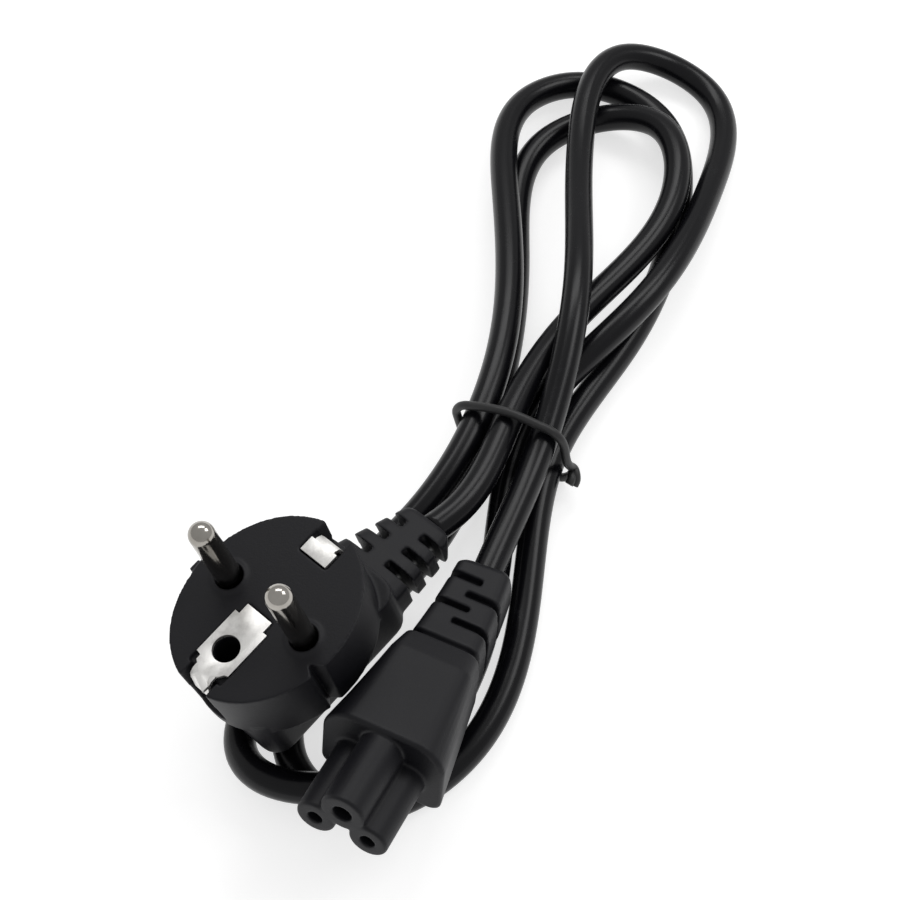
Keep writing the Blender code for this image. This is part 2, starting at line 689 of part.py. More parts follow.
def tie_points(points):
    # The tie lies in an upright plane across the strands and runs tightly round
    # all of them, as a band round a bundle does.
    along = TIE_ALONG.normalized()
    across = Vector((along.y, -along.x, 0.0))
    at = TIE_AT - LAYOUT_CENTRE
    spots = []
    for p, q in zip(points, points[1:]):
        ahead, beyond = (p - at).dot(along), (q - at).dot(along)
        if ahead * beyond > 0.0:
            continue
        cross = p.lerp(q, ahead / (ahead - beyond)) - at
        slant = abs((q - p).normalized().dot(along))
        if abs(cross.dot(across)) < TIE_REACH:
            spots.append((cross.dot(across), cross.z, slant))
    outline = []
    radius = CORD_DIA / 2 + CLEAR + TIE_SLACK + TIE_DIA / 2
    for x, z, slant in spots:
        for k in range(20):
            t = 2.0 * math.pi * k / 20
            outline.append((x + radius / slant * math.cos(t),
                            max(z + radius * math.sin(t), TIE_DIA / 2)))
    hull = around(outline)
    return [at + across * x + Vector((0.0, 0.0, z)) for x, z in hull]


def around(points):
    # The outline that a tight band takes round a set of points.
    points = sorted(set(points))
    halves = []
    for run in (points, points[::-1]):
        half = []
        for p in run:
            while len(half) > 1 and turn(half[-2], half[-1], p) <= 0.0:
                half.pop()
            half.append(p)
        halves += half[:-1]
    spaced = [halves[0]]
    for p in halves[1:]:
        if math.dist(p, spaced[-1]) > TIE_DIA * 0.7 and math.dist(p, spaced[0]) > TIE_DIA * 0.7:
            spaced.append(p)
    return spaced


def turn(a, b, c):
    return (b[0] - a[0]) * (c[1] - a[1]) - (b[1] - a[1]) * (c[0] - a[0])


def main():
    clear_scene()
    plastic = material("black_pvc", (0.025, 0.025, 0.028), 0.42, 0.0)
    cord_mat = material("cord_pvc", (0.022, 0.022, 0.025), 0.36, 0.0)
    metal = material("nickel", (0.78, 0.77, 0.74), 0.22, 1.0)
    tie_mat = material("tie_plastic", (0.02, 0.02, 0.02), 0.45, 0.0)
    build_plug_body(plastic)
    build_pin("pin_left", -1, metal)
    build_pin("pin_right", 1, metal)
    build_earth_contact(metal)
    build_far_clip(metal)
    build_connector(plastic)
    points = tube_points(smooth_route())
    tube("cord", points, CORD_DIA, 3, cord_mat)
    tube("wire_tie", tie_points(points), TIE_DIA, 2, tie_mat, cyclic=True)


main()
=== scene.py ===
# %% [markdown]
# A mains lead lies on a table, folded up and held by a wire tie. It has a
# round two-pin plug at one end and a small three-hole connector at the other.
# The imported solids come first, because they fix where each piece goes. Every
# finished piece below then takes the place of its plain solid.

# %% Load the solids
import math

import bmesh
import bpy
import numpy as np
from mathutils import Matrix, Vector


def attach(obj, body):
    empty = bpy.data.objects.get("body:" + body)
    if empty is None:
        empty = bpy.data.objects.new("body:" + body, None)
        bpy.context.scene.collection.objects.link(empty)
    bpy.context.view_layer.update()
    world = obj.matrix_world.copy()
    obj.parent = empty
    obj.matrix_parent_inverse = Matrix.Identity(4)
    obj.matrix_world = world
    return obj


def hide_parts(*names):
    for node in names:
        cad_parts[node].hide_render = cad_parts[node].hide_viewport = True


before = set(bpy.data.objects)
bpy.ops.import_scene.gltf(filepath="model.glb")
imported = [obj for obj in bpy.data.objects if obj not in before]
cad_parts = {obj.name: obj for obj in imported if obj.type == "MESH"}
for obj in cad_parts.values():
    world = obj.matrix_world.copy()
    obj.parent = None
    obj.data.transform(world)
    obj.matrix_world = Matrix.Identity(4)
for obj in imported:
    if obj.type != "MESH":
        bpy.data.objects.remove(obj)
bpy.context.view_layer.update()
MM = 0.001
print("Solids:", sorted(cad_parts))

# %% [markdown]
# The camera looks down at the table from in front. It could be placed by eye,
# but a table seen at a slant fixes its height and its distance: the sizes of
# the near plug and of the far loops only agree with one pair of them. A long
# lens keeps both ends of the lead from spreading apart.

# %% Camera
VIEW_TARGET = Vector((-0.00775, -0.00596, 0.00012))
VIEW_DISTANCE = 0.384
VIEW_ELEVATION = math.radians(58.0)

camera_data = bpy.data.cameras.new("camera")
camera_data.lens = 75.0
camera_data.sensor_width = 36.0
camera_data.clip_start = 0.01
camera_data.clip_end = 10.0
camera = bpy.data.objects.new("camera", camera_data)
bpy.context.scene.collection.objects.link(camera)
away = Vector((0.0, -math.cos(VIEW_ELEVATION), math.sin(VIEW_ELEVATION)))
camera.location = VIEW_TARGET + away * VIEW_DISTANCE
camera.rotation_mode = "QUATERNION"
camera.rotation_quaternion = (-away).to_track_quat("-Z", "Y")
bpy.context.scene.camera = camera
print("Camera at", tuple(round(v, 3) for v in camera.location))

# %% [markdown]
# A flexible cord has one length and one thickness, so it is drawn as a tube
# along a single smooth line. The line could be a curve object, but a mesh tube
# can also carry, at each of its corners, how far along the cord it lies. The
# sheath's fine streaks follow that. The points below are the ones that the
# solid follows, in metres from the middle of the picture on the table. Between
# them the line may dip a little, so it is kept from sinking into the table.

# %% The cord's route
LAYOUT_CENTRE = np.array((0.00775, 0.00596, -0.00012))
CORD_DIA = 0.0060
CORD_STEP = 0.0013
CORD_SIDES = 28
PLUG_END = [(-0.003709, -0.027775, 0.015576), (0.001317, -0.022931, 0.015043)]
CONNECTOR_END = [(0.009373, -0.029481, 0.012652), (0.006827, -0.035997, 0.012902)]
ROUTE = [
    (0.0118, -0.0007, 0.0134), (0.0265, 0.0268, 0.0101), (0.0486, 0.0591, 0.0099),
    (0.0462, 0.0807, 0.0085), (0.0348, 0.0859, 0.0045), (0.0216, 0.0800, 0.0033),
    (0.0143, 0.0475, 0.0031), (0.0091, 0.0078, 0.0050), (-0.0083, -0.0307, 0.0036),
    (-0.0300, -0.0610, 0.0030), (-0.0286, -0.0702, 0.0030), (-0.0189, -0.0779, 0.0030),
    (0.0006, -0.0704, 0.0032), (0.0144, -0.0377, 0.0034), (0.0202, -0.0057, 0.0050),
    (0.0370, 0.0242, 0.0031), (0.0506, 0.0637, 0.0036), (0.0469, 0.0882, 0.0031),
    (0.0300, 0.0971, 0.0035), (0.0183, 0.0913, 0.0053), (0.0121, 0.0601, 0.0091),
    (0.0104, 0.0169, 0.0115), (-0.0057, -0.0198, 0.0095), (-0.0294, -0.0441, 0.0041),
    (-0.0382, -0.0684, 0.0046), (-0.0346, -0.0736, 0.0071), (-0.0203, -0.0769, 0.0094),
    (0.0007, -0.0579, 0.0036), (0.0091, -0.0277, 0.0044), (0.0156, 0.0020, 0.0056),
    (0.0387, 0.0280, 0.0107), (0.0573, 0.0641, 0.0063), (0.0589, 0.0958, 0.0031),
    (0.0497, 0.1022, 0.0049), (0.0404, 0.1014, 0.0082), (0.0288, 0.0733, 0.0106),
    (0.0256, 0.0247, 0.0171), (0.0172, -0.0090, 0.0121),
]


def smooth_line(points, step):
    """A natural cubic spline through the points, read off at even steps."""
    points = np.array([tuple(p) for p in points])
    t = np.concatenate(([0.0], np.cumsum(np.linalg.norm(np.diff(points, axis=0), axis=1))))
    count = len(t)
    h = np.diff(t)
    left = np.eye(count)
    right = np.zeros((count, 3))
    slope = np.diff(points, axis=0) / h[:, None]
    for i in range(1, count - 1):
        left[i, i - 1:i + 2] = h[i - 1], 2.0 * (h[i - 1] + h[i]), h[i]
        right[i] = 6.0 * (slope[i] - slope[i - 1])
    bend = np.linalg.solve(left, right)
    u = np.append(np.arange(0.0, t[-1], step), t[-1])
    k = np.clip(np.searchsorted(t, u, side="right") - 1, 0, count - 2)
    a = (t[k + 1] - u)[:, None]
    b = (u - t[k])[:, None]
    hk = h[k][:, None]
    line = (bend[k] * a ** 3 + bend[k + 1] * b ** 3) / (6.0 * hk)
    line += (points[k] / hk - bend[k] * hk / 6.0) * a
    line += (points[k + 1] / hk - bend[k + 1] * hk / 6.0) * b
    return line


route = np.array(PLUG_END + ROUTE + CONNECTOR_END) - LAYOUT_CENTRE
cord_line = smooth_line(route, CORD_STEP)
cord_line[:, 2] = np.maximum(cord_line[:, 2], CORD_DIA / 2)

# %% [markdown]
# A tube is a ring that is pushed along the line. Bending the ring round each
# corner by the smallest turn keeps the sheath from twisting. Each ring leaves
# two notes at its corners: its place round the cord, as a point on a circle so
# that no seam shows, and its distance along the cord.

# %% Tube along a line
def put_in_scene(name, bm, matrix=None):
    """Turns a bmesh into a finished object whose place is in its mesh."""
    if matrix is not None:
        bmesh.ops.transform(bm, matrix=matrix, verts=bm.verts)
    mesh = bpy.data.meshes.new(name)
    bm.to_mesh(mesh)
    bm.free()
    piece = bpy.data.objects.new(name, mesh)
    bpy.context.scene.collection.objects.link(piece)
    mesh.shade_smooth()
    return piece


def tube(name, line, radius, sides):
    """Extrudes a ring along the line, square to it everywhere."""
    line = [Vector(p) for p in line]
    bm = bmesh.new()
    around = bm.verts.layers.float_vector.new("sheath")
    ring = bmesh.ops.create_circle(bm, cap_ends=True, radius=radius, segments=sides)["verts"]
    flat = [v.co.copy() for v in ring]
    heading = (line[1] - line[0]).normalized()
    turn = heading.to_track_quat("Z", "Y")
    edges = list(bm.edges)
    travelled = 0.0
    for i, point in enumerate(line):
        if i:
            made = bmesh.ops.extrude_edge_only(bm, edges=edges)["geom"]
            fresh = {v for v in made if isinstance(v, bmesh.types.BMVert)}
            ring = [next(e.other_vert(v) for e in v.link_edges if e.other_vert(v) in fresh) for v in ring]
            edges = [e for e in made if isinstance(e, bmesh.types.BMEdge)
                     and e.verts[0] in fresh and e.verts[1] in fresh]
            travelled += (point - line[i - 1]).length
            ahead = line[min(i + 1, len(line) - 1)] - line[i - 1]
            turn = heading.rotation_difference(ahead.normalized()) @ turn
            heading = ahead.normalized()
        for vert, corner in zip(ring, flat):
            vert.co = point + turn @ corner
            vert[around] = (corner.x, corner.y, travelled)
    bmesh.ops.contextual_create(bm, geom=edges)
    bmesh.ops.recalc_face_normals(bm, faces=bm.faces)
    return put_in_scene(name, bm)


cord = tube("cord_sheath", cord_line, CORD_DIA / 2, CORD_SIDES)
print("Cord faces:", len(cord.data.polygons))

# %% [markdown]
# Plastic and metal differ here mostly in how they scatter light. Shader sums
# are easier to read as plain expressions, so one small class wraps a socket
# and lets it be added and multiplied. A second class makes every other node.

# %% Shader helpers
class Value:
    """A socket that does sums with numbers and with other sockets."""

    def __init__(self, finish, socket):
        self.finish = finish
        self.socket = socket

    def sums(self, operation, first, second):
        return self.finish.node("Math", {"operation": operation}, {0: first, 1: second})

    def __add__(self, other):
        return self.sums("ADD", self, other)

    def __radd__(self, other):
        return self.sums("ADD", other, self)

    def __mul__(self, other):
        return self.sums("MULTIPLY", self, other)

    def __rmul__(self, other):
        return self.sums("MULTIPLY", other, self)


class Finish:
    """A material on one Principled shader."""

    def __init__(self, name, constants):
        self.material = bpy.data.materials.new(name)
        self.material.use_nodes = True
        self.tree = self.material.node_tree
        self.shader = self.tree.nodes["Principled BSDF"]
        for key, value in constants.items():
            self.shader.inputs[key].default_value = value

    def feed(self, socket, value):
        if isinstance(value, Value):
            self.tree.links.new(value.socket, socket)
        else:
            socket.default_value = value

    def node(self, kind, settings=None, sockets=None, out=0):
        """Adds any node: its settings first, then the values or links of its sockets."""
        made = self.tree.nodes.new("ShaderNode" + kind)
        for key, value in (settings or {}).items():
            if key == "stops":
                for stop, (place, level) in zip(made.color_ramp.elements, value):
                    stop.position = place
                    stop.color = (level, level, level, 1.0)
            else:
                setattr(made, key, value)
        for key, value in (sockets or {}).items():
            self.feed(made.inputs[key], value)
        return Value(self, made.outputs[out])

    def place(self):
        return self.node("TexCoord", out="Object")

    def noise(self, place, scale, detail=3.0, rough=0.5):
        return self.node("TexNoise", None, {
            "Vector": place, "Scale": scale, "Detail": detail, "Roughness": rough})

    def stretched(self, place, scale):
        return self.node("Mapping", {"vector_type": "POINT"}, {"Vector": place, "Scale": scale})

    def ramp(self, value, low, high):
        return self.node("ValToRGB", {"stops": ((low, 0.0), (high, 1.0))}, {"Fac": value})

    def mix(self, amount, first, second):
        sockets = {0: amount, 6: (*first, 1.0), 7: (*second, 1.0)}
        return self.node("Mix", {"data_type": "RGBA"}, sockets, 2)

    def bump(self, height, distance, strength):
        return self.node("Bump", None, {"Height": height, "Distance": distance, "Strength": strength})

    def wear(self, **sockets):
        """Feeds the shader's sockets and hands back the finished material."""
        for key, value in sockets.items():
            self.feed(self.shader.inputs[key.replace("_", " ")], value)
        return self.material


# %% [markdown]
# The moulded grip plastic is black with a satin skin. The mould was roughened
# by sparks, so the skin has grains a few tenths of a millimetre across. Broad
# patches are a little shinier where hands have rubbed it, and dust settles in
# pale specks. The cord's sheath is the same plastic, drawn through a round
# hole, so it is smoother and its faint lines run along the cord.

# %% Black plastics
moulded = Finish("moulded_pvc", {"Specular IOR Level": 0.24, "IOR": 1.5})
place = moulded.place()
grain = moulded.noise(place, 2600.0, 2.0)
patches = moulded.noise(place, 90.0, 4.0, 0.6)
specks = moulded.ramp(moulded.noise(place, 1500.0, 1.0), 0.70, 0.80)
MOULDED_BLACK = (0.0042, 0.0042, 0.0060)
MOULDED_DUST = (0.0120, 0.0120, 0.0146)
moulded_pvc = moulded.wear(
    Base_Color=moulded.mix(0.35 * patches + 0.25 * specks, MOULDED_BLACK, MOULDED_DUST),
    Roughness=0.44 + 0.12 * patches,
    Normal=moulded.bump(grain + 0.6 * patches, 0.00005, 0.5))

sheath = Finish("cord_pvc", {"Specular IOR Level": 0.21, "IOR": 1.5})
along = sheath.node("Attribute", {"attribute_name": "sheath"}, out="Vector")
lines = sheath.noise(sheath.stretched(along, (1.0, 1.0, 0.02)), 1800.0, 3.0)
swell = sheath.noise(sheath.stretched(along, (1.0, 1.0, 0.35)), 160.0, 2.0)
scuffs = sheath.ramp(sheath.noise(sheath.place(), 420.0, 4.0, 0.65), 0.60, 0.78)
SHEATH_BLACK = (0.0026, 0.0026, 0.0036)
SHEATH_SCUFF = (0.0080, 0.0080, 0.0098)
cord_pvc = sheath.wear(
    Base_Color=sheath.mix(0.4 * scuffs + 0.2 * swell, SHEATH_BLACK, SHEATH_SCUFF),
    Roughness=0.22 + 0.07 * lines + 0.08 * scuffs,
    Normal=sheath.bump(0.5 * lines + 1.6 * swell, 0.00007, 0.55))

covered = Finish("tie_pvc", {"Specular IOR Level": 0.4, "IOR": 1.5})
along = covered.node("Attribute", {"attribute_name": "sheath"}, out="Vector")
creases = covered.noise(covered.stretched(along, (1.0, 1.0, 0.5)), 900.0, 3.0)
tie_pvc = covered.wear(
    Base_Color=covered.mix(0.5 * creases, (0.011, 0.011, 0.0115), (0.028, 0.028, 0.029)),
    Roughness=0.40 + 0.12 * creases,
    Normal=covered.bump(creases, 0.00010, 0.6))
print("Black plastics:", moulded_pvc.name, cord_pvc.name, tie_pvc.name)

# %% [markdown]
# Nickel plating is a mirror with faint scratches. The turned pins have rings
# round them, left by the lathe. The stamped contact plates have a soft, nearly
# white skin and grey tarnish in patches.

# %% Metals
turned = Finish("turned_nickel", {"Metallic": 1.0, "IOR": 1.5})
place = turned.place()
rings = turned.noise(turned.stretched(place, (0.25, 0.25, 3.0)), 700.0, 3.0)
# The pins' colour is kept dark and turns darker and browner in broad patches: painted dark reflection of
# their surroundings. The same patches also make the plating rougher, as grease marks do.
smudges_and_painted_reflection = turned.noise(place, 260.0, 3.0, 0.6)
turned_nickel = turned.wear(
    Base_Color=turned.mix(smudges_and_painted_reflection, (0.46, 0.44, 0.41), (0.26, 0.245, 0.22)),
    Roughness=0.09 + 0.12 * smudges_and_painted_reflection,
    Normal=turned.bump(rings, 0.00002, 0.5))

stamped = Finish("stamped_nickel", {"Metallic": 0.9, "IOR": 1.5})
place = stamped.place()
cloud = stamped.noise(place, 330.0, 4.0, 0.6)
scratch = stamped.noise(stamped.stretched(place, (5.0, 0.3, 1.0)), 600.0, 2.0)
stamped_nickel = stamped.wear(
    Base_Color=stamped.mix(stamped.ramp(cloud, 0.45, 0.75), (0.83, 0.82, 0.80), (0.58, 0.57, 0.55)),
    Roughness=0.38 + 0.12 * scratch,
    Normal=stamped.bump(scratch, 0.00002, 0.4))
print("Metals:", turned_nickel.name, stamped_nickel.name)

# %% [markdown]
# Moulded bodies are easiest as rough blocks that are joined and cut, with all
# sharp edges rounded at the end. Rounding each edge by hand would take a bevel
# for every crossing. Turning the finished block into fine voxels and
# relaxing them rounds every edge by a few tenths of a millimetre at once, as
# a mould does.

# %% Block helpers
ROUND_STEPS = 5


def scratch_object(name, bm):
    """Makes a closed block an object, with its faces turned outwards."""
    bmesh.ops.recalc_face_normals(bm, faces=bm.faces)
    return put_in_scene(name, bm)


def box(low, high, bm=None, upright=0.0, foot=0.0):
    """A block between two corners. Its upright and lower edges may be rounded."""
    bm = bm or bmesh.new()
    low, high = Vector(low), Vector(high)
    verts = bmesh.ops.create_cube(bm, size=1.0)["verts"]
    size = high - low
    bmesh.ops.scale(bm, vec=size, verts=verts)
    bmesh.ops.translate(bm, vec=(low + high) / 2, verts=verts)
    if upright:
        edges = [e for e in bm.edges if all(v in verts for v in e.verts)
                 and abs(e.verts[0].co.z - e.verts[1].co.z) > size.z * 0.9]
        bmesh.ops.bevel(bm, geom=edges, offset=upright, segments=ROUND_STEPS, profile=0.5,
                        affect="EDGES", material=-1)
    if foot:
        edges = [e for e in bm.edges if all(v.co.z < low.z + 1e-4 for v in e.verts)]
        bmesh.ops.bevel(bm, geom=edges, offset=foot, segments=ROUND_STEPS, profile=0.5,
                        affect="EDGES", material=-1)
    return bm


def rod(radius, z0, z1, at=(0.0, 0.0), bm=None, rim=0.0, segments=64):
    """A round rod, whose top rim may be rounded."""
    bm = bm or bmesh.new()
    verts = bmesh.ops.create_cone(bm, cap_ends=True, segments=segments, radius1=radius,
                                  radius2=radius, depth=z1 - z0)["verts"]
    bmesh.ops.translate(bm, vec=(at[0], at[1], (z0 + z1) / 2), verts=verts)
    if rim:
        chosen = set(verts)
        edges = [e for e in bm.edges if all(v in chosen and v.co.z > z1 - 1e-4 for v in e.verts)]
        bmesh.ops.bevel(bm, geom=edges, offset=rim, segments=4, profile=0.5,
                        affect="EDGES", material=-1)
    return bm


def drawn_out(corners, radius, stations):
    """Rounds the corners of a flat outline and draws it out through stations.

    A station maps a corner (x, y) of the outline to its place in space.
    """
    bm = bmesh.new()
    verts = [bm.verts.new((x, y, 0.0)) for x, y in corners]
    bm.faces.new(verts)
    bmesh.ops.bevel(bm, geom=verts, offset=radius, segments=ROUND_STEPS, profile=0.5,
                    affect="VERTICES", material=-1)
    bm.faces.ensure_lookup_table()
    face = bm.faces[-1]
    flat = [v.co.copy() for v in face.verts]
    for i, station in enumerate(stations):
        if i:
            made = bmesh.ops.extrude_face_region(bm, geom=[face])["geom"]
            if i > 1:
                bmesh.ops.delete(bm, geom=[face], context="FACES_ONLY")
            face = next(g for g in made if isinstance(g, bmesh.types.BMFace))
        ordered = list(face.verts)
        if i:
            # The new face keeps the order of the outline's corners.
            ordered = sorted(ordered, key=lambda v: min(
                range(len(before)), key=lambda k: (before[k] - v.co).length))
        for vert, corner in zip(ordered, flat):
            vert.co = station(corner.x, corner.y)
        before = [v.co.copy() for v in ordered]
    return bm


def combine(body, block, operation):
    """Joins another block to a body, or cuts it out, and applies the result."""
    tool = scratch_object("tool", block)
    modifier = body.modifiers.new("combine", "BOOLEAN")
    modifier.operation = operation
    modifier.object = tool
    modifier.solver = "EXACT"
    apply_modifiers(body)
    bpy.data.objects.remove(tool, do_unlink=True)


def apply_modifiers(body):
    """Keeps the shape that the body's modifiers give, and drops them."""
    graph = bpy.context.evaluated_depsgraph_get()
    mesh = bpy.data.meshes.new_from_object(body.evaluated_get(graph))
    body.modifiers.clear()
    body.data = mesh


def set_down(body, place):
    """Puts a body that was made in millimetres in its place on the table."""
    body.data.transform(place @ Matrix.Scale(MM, 4))
    body.data.shade_smooth()


def mould(body, voxel, relax, place):
    """Rounds every edge by voxels and relaxing, then puts the body in its place."""
    modifier = body.modifiers.new("voxels", "REMESH")
    modifier.mode = "VOXEL"
    modifier.voxel_size = voxel
    apply_modifiers(body)
    bm = bmesh.new()
    bm.from_mesh(body.data)
    for _ in range(relax):
        bmesh.ops.smooth_vert(bm, verts=bm.verts, factor=0.5, use_axis_x=True,
                              use_axis_y=True, use_axis_z=True)
    bm.to_mesh(body.data)
    bm.free()
    set_down(body, place)
    print(body.name, "faces:", len(body.data.polygons))


# %% [markdown]
# The plug lies tilted on its cord with its face up. Its own axes run along the
# two pins, toward the cord, and out of the face. Working in those axes, in
# millimetres, keeps every block straight. One matrix then tilts the finished
# plug into its place.

# %% The plug's round shell and grip
PLUG_PLACE = Matrix((
    (0.72479, 0.66509, -0.17980, -0.03967),
    (-0.68159, 0.73028, -0.04620, -0.05997),
    (0.10058, 0.15604, 0.98262, 0.03512),
    (0.0, 0.0, 0.0, 1.0)))
FACE_HALF = (16.0, 18.9)
SHELL_DEPTH = 15.5
SHELL_DRAFT = 0.5
GRIP_LOW, GRIP_HIGH = (-10.3, -16.5, -26.5), (10.3, 19.6, -13.0)
GRIP_CORNER, GRIP_FOOT = 4.0, 2.0

shell = rod(1.0, -SHELL_DEPTH, 0.0, segments=144)
for vert in shell.verts:
    inset = SHELL_DRAFT if vert.co.z < -1.0 else 0.0
    vert.co.x *= FACE_HALF[0] - inset
    vert.co.y *= FACE_HALF[1] - inset
plug = scratch_object("plug_moulding", shell)
combine(plug, box(GRIP_LOW, GRIP_HIGH, upright=GRIP_CORNER, foot=GRIP_FOOT), "UNION")
print("Plug, millimetres:", [round(v, 1) for v in plug.dimensions])

# %% [markdown]
# The strain relief keeps the cord from kinking at the plug. It tapers toward
# the cord, and slots on both sides of a spine let it bend. A block is drawn
# out through a few sections, and thin blocks cut the slots. A round core stays
# in the middle, because that is the cord's own cover.

# %% The plug's strain relief
RELIEF_FROM, RELIEF_TO = 20.4, 34.6
RELIEF_HALF = (8.4, 5.5)
RELIEF_TOP = (17.2, 21.0)
RELIEF_LOW = (26.5, 29.6)
RELIEF_DROP = ((RELIEF_TOP[1] + RELIEF_LOW[1]) - (RELIEF_TOP[0] + RELIEF_LOW[0])) / 2
RELIEF_SLOPE = RELIEF_DROP / (RELIEF_TO - RELIEF_FROM)
RELIEF_ASIDE, RELIEF_CORNER, RELIEF_RIM = 0.6, 0.42, 0.6
FIRST_SLOT, SLOT_PITCH, SLOT_WIDE, SLOT_COUNT = 2.7, 4.2, 1.7, 3
SPINE_HALF, CORE_RADIUS = 2.1, 3.3


def relief_section(y):
    """Middle, half width, top and bottom of the strain relief, this far along."""
    t = (y - RELIEF_FROM) / (RELIEF_TO - RELIEF_FROM)
    half, top, low = (a + (b - a) * t for a, b in (RELIEF_HALF, RELIEF_TOP, RELIEF_LOW))
    return RELIEF_ASIDE * t, half, -top, -low


def relief_station(y, shrink=0.0):
    """Maps a square's corner to the strain relief's section this far along."""
    middle, half, top, low = relief_section(y)

    def station(x, z):
        height = (top + low) / 2 + z * ((top - low) / 2 - shrink)
        lean = RELIEF_SLOPE * z * (top - low) / 2
        return Vector((middle + x * (half - shrink), y + lean, height))

    return station


square = [(-1.0, -1.0), (1.0, -1.0), (1.0, 1.0), (-1.0, 1.0)]
relief = drawn_out(square, RELIEF_CORNER, [
    relief_station(RELIEF_FROM - 6.0), relief_station(RELIEF_FROM + 1.0),
    relief_station(RELIEF_TO - 0.8), relief_station(RELIEF_TO, RELIEF_RIM)])
combine(plug, relief, "UNION")

slots = bmesh.new()
for i in range(SLOT_COUNT):
    y = RELIEF_FROM + FIRST_SLOT + i * SLOT_PITCH
    middle, half, top, low = relief_section(y)
    for side in (-1, 1):
        ends = sorted((middle + side * SPINE_HALF, middle + side * (half + 1.0)))
        box((ends[0], y - SLOT_WIDE / 2, low - 1.0), (ends[1], y + SLOT_WIDE / 2, top + 1.0), slots)
combine(plug, slots, "DIFFERENCE")

core = rod(CORE_RADIUS, RELIEF_FROM - 1.0, RELIEF_TO - 0.3, segments=48)
laid_down = Matrix.Rotation(-math.pi / 2, 3, "X")
bmesh.ops.rotate(core, cent=(0.0, 0.0, 0.0), matrix=laid_down, verts=core.verts)
middle_drop = -(RELIEF_TOP[0] + RELIEF_LOW[0]) / 2
for vert in core.verts:
    vert.co.z += middle_drop - RELIEF_SLOPE * (vert.co.y - RELIEF_FROM)
combine(plug, core, "UNION")
print("Relief slots:", SLOT_COUNT * 2)

# %% [markdown]
# The face carries a rib at one end of the pin line and a groove at the other,
# which guide the plug into its socket. Two notches at the rim let the earth
# contacts fold over the edge. Each pin stands in a low ring.

# %% The plug's rib, groove, notches and beds
PIN_RADIUS, PIN_HALF_SPACING, PIN_LENGTH, PIN_ROOT = 2.4, 9.5, 19.0, 9.0
HOLE_RADIUS, HOLE_Y = 2.6, -10.0
PLATE_LOW = -1.0
PLUG_VOXEL = 0.3
PLATE = [(-4.0, -15.2), (4.0, -15.2), (4.0, -3.8), (3.0, -3.8), (3.0, -1.6),
         (-3.0, -1.6), (-3.0, -3.8), (-4.0, -3.8)]

RIB_LOW, RIB_HIGH = (-16.9, -3.4, -14.5), (-14.5, -1.0, -0.5)
FOOT_RADIUS, FOOT_UP = 3.1, 0.5
GROOVE = [(13.6, -3.0), (17.0, -5.5), (17.0, -0.5)]
GROOVE_LOW, GROOVE_LONG = -16.5, 17.5
NOTCH_HALF, NOTCH_IN, NOTCH_OUT, NOTCH_LOW = 3.2, 15.3, 21.0, -12.5
CLEAR = 2.0

combine(plug, box(RIB_LOW, RIB_HIGH), "UNION")
feet = bmesh.new()
for side in (-1, 1):
    rod(FOOT_RADIUS, -1.0, FOOT_UP, (side * PIN_HALF_SPACING, 0.0), feet, rim=0.2, segments=48)
combine(plug, feet, "UNION")

groove = bmesh.new()
wedge = groove.faces.new([groove.verts.new((x, y, GROOVE_LOW)) for x, y in GROOVE])
made = bmesh.ops.extrude_face_region(groove, geom=[wedge])["geom"]
upper = [g for g in made if isinstance(g, bmesh.types.BMVert)]
bmesh.ops.translate(groove, vec=(0.0, 0.0, GROOVE_LONG), verts=upper)
combine(plug, groove, "DIFFERENCE")

cuts = bmesh.new()
for side in (-1, 1):
    rod(PIN_RADIUS + 0.15, -PIN_ROOT - 0.3, CLEAR, (side * PIN_HALF_SPACING, 0.0), cuts, segments=48)
rod(HOLE_RADIUS + 0.1, -14.0, -0.2, (0.0, HOLE_Y), cuts, segments=48)
combine(plug, cuts, "DIFFERENCE")

BED_GROWS = (1.04, 1.03)
PLATE_MIDDLE = -8.4
bed_outline = [(x * BED_GROWS[0], (y - PLATE_MIDDLE) * BED_GROWS[1] + PLATE_MIDDLE) for x, y in PLATE]
bed = drawn_out(bed_outline, 0.05, [
    lambda x, y: Vector((x, y, PLATE_LOW)), lambda x, y: Vector((x, y, CLEAR))])
combine(plug, bed, "DIFFERENCE")
combine(plug, box((-3.4, 11.5, PLATE_LOW), (3.4, 16.3, CLEAR)), "DIFFERENCE")
for side in (-1, 1):
    near, far = sorted((side * NOTCH_IN, side * NOTCH_OUT))
    combine(plug, box((-NOTCH_HALF, near, NOTCH_LOW), (NOTCH_HALF, far, CLEAR)), "DIFFERENCE")
mould(plug, PLUG_VOXEL, 2, PLUG_PLACE)

# %% [markdown]
# A pin is turned from bar on a lathe, so half of its outline, spun once round,
# gives it exactly. Its tip is a full dome.

# %% Pins
def spun(name, profile, axis_at, place):
    """Spins a half outline, given as radius and height, once round."""
    bm = bmesh.new()
    verts = [bm.verts.new((r, 0.0, z)) for r, z in profile]
    edges = [bm.edges.new(pair) for pair in zip(verts, verts[1:])]
    bmesh.ops.spin(bm, geom=verts + edges, cent=(0.0, 0.0, 0.0), axis=(0.0, 0.0, 1.0),
                   angle=2.0 * math.pi, steps=64, use_merge=True)
    bmesh.ops.remove_doubles(bm, verts=bm.verts, dist=1e-5)
    bmesh.ops.recalc_face_normals(bm, faces=bm.faces)
    bmesh.ops.translate(bm, vec=(*axis_at, 0.0), verts=bm.verts)
    return put_in_scene(name, bm, place @ Matrix.Scale(MM, 4))


